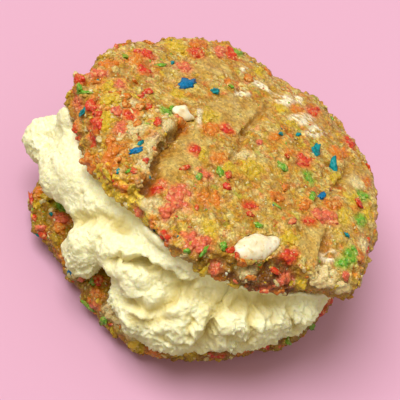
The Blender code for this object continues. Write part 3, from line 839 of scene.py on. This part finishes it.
UPPER_FLAKES = {
    "orange": ((-32, -3, 8, 3.5, 1.5, 65), (-32, -12, 9, 3.0, 1.5, 45)),
    "yellow": ((5, -40, -2, 4.0, 2.0, 85), (-26, -35, 2, 4.0, 2.0, 170)),
    "plain": ((41, -17, 2, 4.5, 1.5, 60), (-45, -8, 3, 3.5, 1.5, 40)),
    "green": (
        (10, -4, 10, 3.5, 2.5, 150), (-38, 7, 6, 3.0, 1.5, 105), (-41, -14, 4, 3.5, 1.5, 160),
        (-43, -13, 4, 2.5, 2.0, 30), (-29, 10, 7, 3.0, 1.0, 40), (-7, -24, 8, 2.0, 1.5, 90),
        (11, -27, 7, 2.5, 1.2, 10), (-22, -34, 6, 1.5, 1.0, 130), (13, -18, 9, 2.5, 0.8, 10),
    ),
    "teal": (
        (22, 10, 8, 4.5, 2.0, 125), (16, 11, 9, 4.5, 2.2, 95), (32, -11, 7, 2.5, 1.5, 65),
        (-39, -18, 2, 3.0, 1.5, 160), (-27, 14, 7, 2.0, 1.0, 95), (6, 8, 10, 2.0, 1.0, 65),
        (10, 13, 9, 2.0, 1.0, 70), (-23, -25, 8, 2.0, 1.0, 75), (-24, -35, 5, 1.5, 1.0, 100),
    ),
    "blue": ((-21, 7, 8, 5.5, 3.2, 70), (22, -4, 8, 3.5, 2.0, 85), (-23, -28, 8, 3.5, 1.5, 50)),
}
LOWER_CLUMPS = {
    "coral": (
        (-27, -24, 12, 4.0, 3.5, 15), (-9, -40, 7, 3.5, 1.5, 60), (-30, -28, 9, 3.0, 1.5, 30),
        (-15, -36, 8, 2.5, 1.5, 55),
    ),
    "red": (
        (43, -4, 11, 5.5, 2.5, 45), (43, -9, 10, 4.5, 2.5, 20), (-29, -29, 8, 4.5, 1.5, 55),
        (-11, -35, 11, 2.5, 2.5, 120), (24, -35, 8, 3.5, 1.5, 160), (33, -26, 9, 3.0, 1.5, 0),
        (-3, -42, 6, 2.5, 1.0, 65), (-10, -39, 7, 1.5, 1.0, 60),
    ),
    "orange": (
        (10, -43, 6, 5.0, 3.5, 135), (-21, -32, 8, 6.0, 2.5, 50), (-35, -19, 11, 4.0, 2.5, 125),
        (30, -30, 8, 5.0, 2.0, 175), (-26, -27, 11, 3.0, 3.0, 0), (-10, -38, 10, 3.5, 2.5, 30),
        (-24, -23, 12, 2.5, 1.5, 10),
    ),
    "yellow": (
        (17, -41, 10, 7.0, 2.5, 20), (5, -44, 7, 4.0, 3.5, 35), (-33, -20, 11, 3.0, 2.5, 175),
        (-34, -23, 10, 2.0, 2.0, 150), (-2, -42, 5, 2.5, 1.5, 175),
    ),
    "green": (
        (-29, -20, 12, 3.5, 2.5, 145), (42, -13, 9, 3.0, 1.5, 130), (38, -21, 9, 2.5, 1.5, 10),
        (-22, -31, 10, 1.5, 1.5, 45), (-12, -36, 10, 1.5, 1.5, 15),
    ),
    "plain": (
        (-1, -42, 9, 6.0, 3.0, 0), (-5, -41, 9, 4.0, 2.5, 30), (3, -43, 9, 4.0, 2.5, 10),
        (-17, -35, 8, 4.0, 2.5, 20),
    ),
}
LOWER_FLAKES = {
    "blue": ((-18, -34, 7, 3.0, 1.8, 60),),
    "green": ((-10, -39, 5, 4.5, 1.5, 165), (-5, -41, 6, 3.0, 1.8, 90)),
    "red": ((-36, -22, 9, 4.0, 1.5, 165),),
    "teal": ((-30, -24, 11, 2.0, 1.2, 20), (-30, -28, 5, 1.8, 1.2, 170)),
}
LONGEST_SINGLE = 3.0  # a bit up to this long is one flake, not a clump
KERNELS = ((3.8, 0.85), (2.2, 0.62), (0, 0.45))  # clumps wider than this: the size of their kernels
PUFF_GRAIN = 0.2  # the clumps' kernels run into one another at this grain
FLAKE_LIFT = 0.12
STAIN_REACH = 1.2
STAIN_STRENGTH = 0.8


def level_frame(normal, turn):
    """A frame on a surface: +Z along its normal, +X level and turned by an angle in degrees."""
    along = Vector((1, 0, 0)) if abs(normal.x) < 0.85 else Vector((0, 1, 0))
    along = (along - normal * normal.dot(along)).normalized()
    level = Matrix((along, normal.cross(along), normal)).transposed()
    return level @ Matrix.Rotation(math.radians(turn), 3, "Z")


def clump_kernels(surface, place, turned, length, width, chance):
    """Places, normals and sizes of the kernels in a clump, close together on a surface."""
    kernels = []
    kernel = next(size for least, size in KERNELS if min(length, width) > least)
    step = kernel * 1.25
    rows = int(width / step / 2) + 1
    columns = int(length / step / 2) + 1
    for row in range(-rows, rows + 1):
        for column in range(-columns, columns + 1):
            u = (column + (row % 2) / 2 + chance.uniform(-0.3, 0.3)) * step
            v = (row + chance.uniform(-0.3, 0.3)) * step * 0.87
            if math.hypot(u / (length / 2), v / (width / 2)) > chance.uniform(0.75, 1.1):
                continue
            spot, normal, _, _ = surface.find_nearest(place + turned @ Vector((u, v, 0)))
            size = kernel * chance.uniform(0.7, 1.25)
            kernels.append((spot + normal * size * chance.uniform(-0.5, 0.1), normal, size))
    return kernels


def add_kernel(bm, place, normal, size, chance):
    """A puffed kernel: a ball stretched one way and a little flat."""
    ball = bmesh.ops.create_icosphere(bm, subdivisions=2, radius=1.0)["verts"]
    turned = level_frame(normal, chance.uniform(0, 360)).to_4x4()
    stretch = chance.uniform(0.85, 1.35)
    shape = Matrix.Diagonal((size * stretch, size / stretch**0.5, size * 0.7, 1))
    bmesh.ops.transform(bm, matrix=Matrix.Translation(place) @ turned @ shape, verts=ball)


def add_flake(bm, place, turned, length, width, chance):
    """A broken flake: an angular slip, thickest in the middle."""
    ball = bmesh.ops.create_icosphere(bm, subdivisions=3, radius=1.0)["verts"]
    seed = Vector([chance.uniform(0, 50) for _ in range(3)])
    for vertex in ball:
        rough = 0.6 * noise.noise(vertex.co * 1.7 + seed) + 0.4 * noise.noise(vertex.co * 4.0 + seed)
        vertex.co *= 1 + rough
    shape = Matrix.Diagonal((length / 2, width / 2, min(0.55, width * 0.3), 1))
    bmesh.ops.transform(bm, matrix=Matrix.Translation(place) @ turned.to_4x4() @ shape, verts=ball)


def cereal_material(name, shade):
    """Puffed cereal: each kernel in its own tone of the colour, paler where it is worn, a bit glossy."""
    material, tree, shader, where = new_material(name)
    _, numbers = grains(tree, where, 1300)
    inputs = {0: clouds(tree, where, 1300, 4), 1: numbers["Green"]}
    part = times(tree, add(tree, "ShaderNodeMath", inputs, operation="ADD").outputs["Value"], 0.5)
    warm = shade[0] > shade[2]
    stops = (
        (0.22, shade * 0.55),
        (0.42, shade),
        (0.6, mix(shade, DOUGH_GOLD, 0.3) if warm else shade * 1.2),
        (0.8, mix(shade, DOUGH_PALE, 0.5) if warm else shade * 1.3 + 0.005),
    )
    tree.links.new(ramp(tree, part, stops), shader.inputs["Base Color"])
    grain = add(tree, "ShaderNodeTexVoronoi", {"Vector": where, "Scale": 2000}).outputs["Distance"]
    roughen(tree, shader, grain, 0.8, 0.2)
    shader.inputs["Roughness"].default_value = 0.25
    shader.inputs["Specular IOR Level"].default_value = 0.4 if warm else 0.2
    soak(shader, 0.45 if warm else 0.05, 1.0, (1.0, 0.5, 0.25))
    return material


def store_colour(mesh, name, colours):
    layer = mesh.attributes.new(name, "FLOAT_COLOR", "POINT")
    full = np.ones((len(mesh.vertices), 4))
    full[:, :3] = np.clip(colours, 0, 1)
    layer.data.foreach_set("color", full.ravel())


stains = []
cereal_parts = {name: [] for name in CEREAL}
materials = {name: cereal_material(f"{name}_cereal", shade) for name, shade in CEREAL.items()}
toppings = (
    (surface_of(upper.data), upper_frame, UPPER_CLUMPS, UPPER_FLAKES),
    (surface_of(lower.data), Matrix.Identity(4), LOWER_CLUMPS, LOWER_FLAKES),
)
for index, (shade_name, shade) in enumerate(CEREAL.items()):
    chance = np.random.default_rng(900 + index)
    kernel_mesh = bmesh.new()
    flake_mesh = bmesh.new()
    for surface, cookie_frame, clumps, flakes in toppings:
        cookie_turn = cookie_frame.to_3x3()
        for entries, as_flake in ((clumps.get(shade_name, ()), False), (flakes.get(shade_name, ()), True)):
            for *place, length, width, turn in entries:
                spot, normal, _, _ = surface.find_nearest(cookie_frame @ Vector(place))
                turned = cookie_turn @ level_frame(cookie_turn.transposed() @ normal, turn)
                if as_flake or length <= LONGEST_SINGLE:
                    add_flake(flake_mesh, spot + normal * FLAKE_LIFT, turned, length, width, chance)
                    continue
                for middle, outward, size in clump_kernels(surface, spot, turned, length, width, chance):
                    add_kernel(kernel_mesh, middle, outward, size, chance)
                    stains.append((middle, shade))
    for bm, part in ((kernel_mesh, "clumps"), (flake_mesh, "flakes")):
        if not bm.verts:
            bm.free()
            continue
        piece = new_piece(f"{shade_name}_cereal_{part}", bm)
        piece.data.transform(Matrix.Scale(MM, 4))
        if part == "clumps":
            remesh(piece, PUFF_GRAIN, 1)
            spots = places_of(piece.data)
            push_out(piece, 0.1 * soft_noise(spots, 0.7, 90 + index) + 0.05 * soft_noise(spots, 0.35, 91))
        cereal_parts[shade_name].append(piece)

# The dough round each clump has taken up its colour, and carries fewer crumbs
tree_of_stains = kdtree.KDTree(len(stains))
for index, (middle, _) in enumerate(stains):
    tree_of_stains.insert(middle, index)
tree_of_stains.balance()
for piece, colours, shares in ((upper, upper_colour, upper_shares), (lower, lower_colour, lower_shares)):
    places = places_of(piece.data)
    stained = colours.copy()
    covered = np.zeros(len(places))
    for row, place in enumerate(places.tolist()):
        _, index, away = tree_of_stains.find(place)
        share = STAIN_STRENGTH * math.exp(-((away / STAIN_REACH) ** 2))
        if share > 0.02:
            stained[row] = stained[row] * (1 - share) + stains[index][1] * share
        covered[row] = share
    store_colour(piece.data, "tint", stained)
    for name, bare in shares.items():
        store_share(piece.data, name, bare * (1 - covered))

# ------------------------------------------------------------------------------------------------
# Crumbs: bits of dough and crushed cereal all over both cookies, half sunk in the surface. They are
# fine everywhere, and coarse on the broken parts: the left front, the rims and the torn front edge.


def rough_bit(name, rings, flat, seed):
    """One crumb of size 1, sunk a little below the origin."""
    mesh = bpy.data.meshes.new(name)
    bm = bmesh.new()
    bmesh.ops.create_icosphere(bm, subdivisions=rings, radius=0.5)
    for vertex in bm.verts:
        vertex.co *= 1 + 0.5 * noise.noise(vertex.co * 2.6 + Vector((seed, seed, seed)))
        vertex.co.z = vertex.co.z * flat - 0.18
    bm.to_mesh(mesh)
    bm.free()
    return bpy.data.objects.new(name, mesh)


def scattering():
    """Bits scattered on a surface, by a share stored on it, each turned and sized at random."""
    group = bpy.data.node_groups.new("scattered_bits", "GeometryNodeTree")
    sockets = group.interface
    sockets.new_socket("Geometry", in_out="OUTPUT", socket_type="NodeSocketGeometry")
    for name, kind in (
        ("Surface", "NodeSocketObject"),
        ("Bit", "NodeSocketObject"),
        ("Share", "NodeSocketString"),
        ("Density", "NodeSocketFloat"),
        ("Smallest", "NodeSocketFloat"),
        ("Largest", "NodeSocketFloat"),
        ("Seed", "NodeSocketInt"),
        ("Material", "NodeSocketMaterial"),
    ):
        sockets.new_socket(name, in_out="INPUT", socket_type=kind)
    given = group.nodes.new("NodeGroupInput").outputs
    surface_info = add(group, "GeometryNodeObjectInfo", {"Object": given["Surface"]})
    bit_info = add(group, "GeometryNodeObjectInfo", {"Object": given["Bit"], "As Instance": True})
    share = add(group, "GeometryNodeInputNamedAttribute", {"Name": given["Share"]}, data_type="FLOAT")
    density = times(group, share.outputs["Attribute"], given["Density"])
    inputs = {"Mesh": surface_info.outputs["Geometry"], "Density": density, "Seed": given["Seed"]}
    points = add(group, "GeometryNodeDistributePointsOnFaces", inputs)
    inputs = {"Seed": given["Seed"], "Min": (-0.3, -0.3, 0), "Max": (0.3, 0.3, 2 * math.pi)}
    turn = add(group, "FunctionNodeRandomValue", inputs, data_type="FLOAT_VECTOR")
    inputs = {"Rotation": points.outputs["Rotation"], "Rotate By": turn.outputs["Value"]}
    turned = add(group, "FunctionNodeRotateRotation", inputs, rotation_space="LOCAL")
    inputs = {"Seed": given["Seed"], 2: given["Smallest"], 3: given["Largest"]}
    size = add(group, "FunctionNodeRandomValue", inputs, data_type="FLOAT")
    inputs = {"Seed": given["Seed"], "Min": (0.8, 0.5, 0.7), "Max": (1.5, 1.0, 1.2)}
    stretch = add(group, "FunctionNodeRandomValue", inputs, data_type="FLOAT_VECTOR")
    inputs = {0: stretch.outputs["Value"], "Scale": size.outputs[1]}
    scale = add(group, "ShaderNodeVectorMath", inputs, operation="SCALE").outputs["Vector"]
    inputs = {
        "Points": points.outputs["Points"],
        "Instance": bit_info.outputs["Geometry"],
        "Rotation": turned.outputs["Rotation"],
        "Scale": scale,
    }
    bits = add(group, "GeometryNodeInstanceOnPoints", inputs).outputs["Instances"]
    whole = add(group, "GeometryNodeRealizeInstances", {"Geometry": bits}).outputs["Geometry"]
    inputs = {"Geometry": whole, "Material": given["Material"]}
    coloured = add(group, "GeometryNodeSetMaterial", inputs).outputs["Geometry"]
    group.links.new(coloured, group.nodes.new("NodeGroupOutput").inputs["Geometry"])
    return group


def join(name, parts):
    """One piece made of several, none of it under the table top."""
    bm = bmesh.new()
    for part in parts:
        bm.from_mesh(part.data)
        bpy.data.objects.remove(part)
    for vertex in bm.verts:
        vertex.co.z = max(vertex.co.z, 0)
    return new_piece(name, bm)


def scatter(name, group, surface, bit, share, density, smallest, largest, seed, material):
    """Bits on a surface: a density of so many to a square mm, and the smallest and largest in mm."""
    piece = new_piece(name, bmesh.new())
    modifier = piece.modifiers.new("scattered", "NODES")
    modifier.node_group = group
    values = {
        "Surface": surface,
        "Bit": bit,
        "Share": share,
        "Density": density * 1e6,
        "Smallest": smallest * MM,
        "Largest": largest * MM,
        "Seed": seed,
        "Material": material,
    }
    for socket in group.interface.items_tree:
        if socket.in_out == "INPUT":
            modifier[socket.identifier] = values[socket.name]
    apply_modifiers(piece)
    return piece


group = scattering()
fine_bit = rough_bit("fine_bit", 1, 0.6, 4.0)
coarse_bit = rough_bit("coarse_bit", 2, 0.75, 9.0)
SCATTER = (
    # colour, fine bits to a square mm, coarse bits to a square mm
    ("plain", 0.09, 0.08),
    ("orange", 0.05, 0.05),
    ("yellow", 0.05, 0.06),
    ("coral", 0.015, 0.015),
    ("red", 0.012, 0.008),
    ("green", 0.02, 0.01),
    ("teal", 0.003, 0.002),
    ("blue", 0.001, 0.001),
)
for cookie, place in ((upper, "upper"), (lower, "lower")):
    crumb_parts = [
        scatter("fine_crumbs", group, cookie, fine_bit, "open", 0.35, 0.4, 1.0, 3, dough),
        scatter("coarse_crumbs", group, cookie, coarse_bit, "coarse", 0.2, 0.8, 2.4, 5, dough),
    ]
    finish(join(f"{place}_cookie_crumbs", crumb_parts), dough, f"{place}_cookie")
    for index, (shade_name, fine, coarse) in enumerate(SCATTER):
        material = materials[shade_name]
        cereal_parts[shade_name] += [
            scatter("fine_cereal", group, cookie, fine_bit, "open", fine, 0.4, 1.1, 20 + index, material),
            scatter(
                "coarse_cereal", group, cookie, coarse_bit, "coarse", coarse, 0.8, 2.0, 40 + index, material
            ),
        ]
for shade_name, parts in cereal_parts.items():
    finish(join(f"{shade_name}_cereal", parts), materials[shade_name], "fruit_cereal")
for bit in (fine_bit, coarse_bit):
    bpy.data.objects.remove(bit)

# ------------------------------------------------------------------------------------------------
# Table top, one broad soft light and the camera. None of them belongs to the cookie. The light comes
# from high on the left and a little in front, and the sky fills in the shadows from all round.

bm = bmesh.new()
bmesh.ops.create_grid(bm, x_segments=2, y_segments=2, size=3.0)
table_top = new_piece("table_top", bm)
card, _, card_shader, _ = new_material("pale_pink_card")
card_shader.inputs["Base Color"].default_value = (*paint(216, 166, 194), 1)
card_shader.inputs["Roughness"].default_value = 0.9
card_shader.inputs["Specular IOR Level"].default_value = 0.1
table_top.data.materials.append(card)
table_top.visible_diffuse = False

LIGHT_FROM = 200  # degrees round from +X
LIGHT_HEIGHT = 65  # degrees above the table
key = bpy.data.lights.new("key", "SUN")
key.energy = 2.85
key.angle = math.radians(40)
key.color = (1.0, 1.0, 0.98)
key_light = bpy.data.objects.new("key", key)
azimuth, height = math.radians(LIGHT_FROM), math.radians(LIGHT_HEIGHT)
level = math.cos(height)
toward = Vector((math.cos(azimuth) * level, math.sin(azimuth) * level, math.sin(height)))
key_light.rotation_euler = toward.to_track_quat("Z", "Y").to_euler()
bpy.context.scene.collection.objects.link(key_light)
world = bpy.data.worlds.new("studio")
world.use_nodes = True
sky = world.node_tree
direction = sky.nodes.new("ShaderNodeTexCoord").outputs["Generated"]
height_of = add(sky, "ShaderNodeSeparateXYZ", {"Vector": direction}).outputs["Z"]
from_below = spread(sky, height_of, -0.25, 0.25, 0, 1)
shades = ((0.0, (0.66, 0.5, 0.27)), (1.0, (1.0, 0.92, 0.74)))
sky.links.new(ramp(sky, from_below, shades), sky.nodes["Background"].inputs["Color"])
sky.nodes["Background"].inputs["Strength"].default_value = 0.52
bpy.context.scene.world = world
bpy.context.scene.view_settings.view_transform = "Standard"

CAMERA_HEIGHT = 49.0  # degrees above the table
CAMERA_ROLL = 29.3
CAMERA_AWAY = 0.45
LOOK_AT = Vector((0.0012, -0.0002, 0.0162))
lens_angle = math.radians(CAMERA_HEIGHT)
forward = Vector((0, math.cos(lens_angle), -math.sin(lens_angle)))
right = Vector((1, 0, 0))
top = right.cross(forward)
roll = math.radians(CAMERA_ROLL)
across = right * math.cos(roll) + top * math.sin(roll)
upward = top * math.cos(roll) - right * math.sin(roll)
camera = bpy.data.objects.new("camera", bpy.data.cameras.new("camera"))
camera.matrix_world = (
    Matrix.Translation(LOOK_AT - forward * CAMERA_AWAY)
    @ Matrix((across, upward, -forward)).transposed().to_4x4()
)
camera.data.lens = 157.1
camera.data.sensor_width = 36
bpy.context.scene.collection.objects.link(camera)
bpy.context.scene.camera = camera
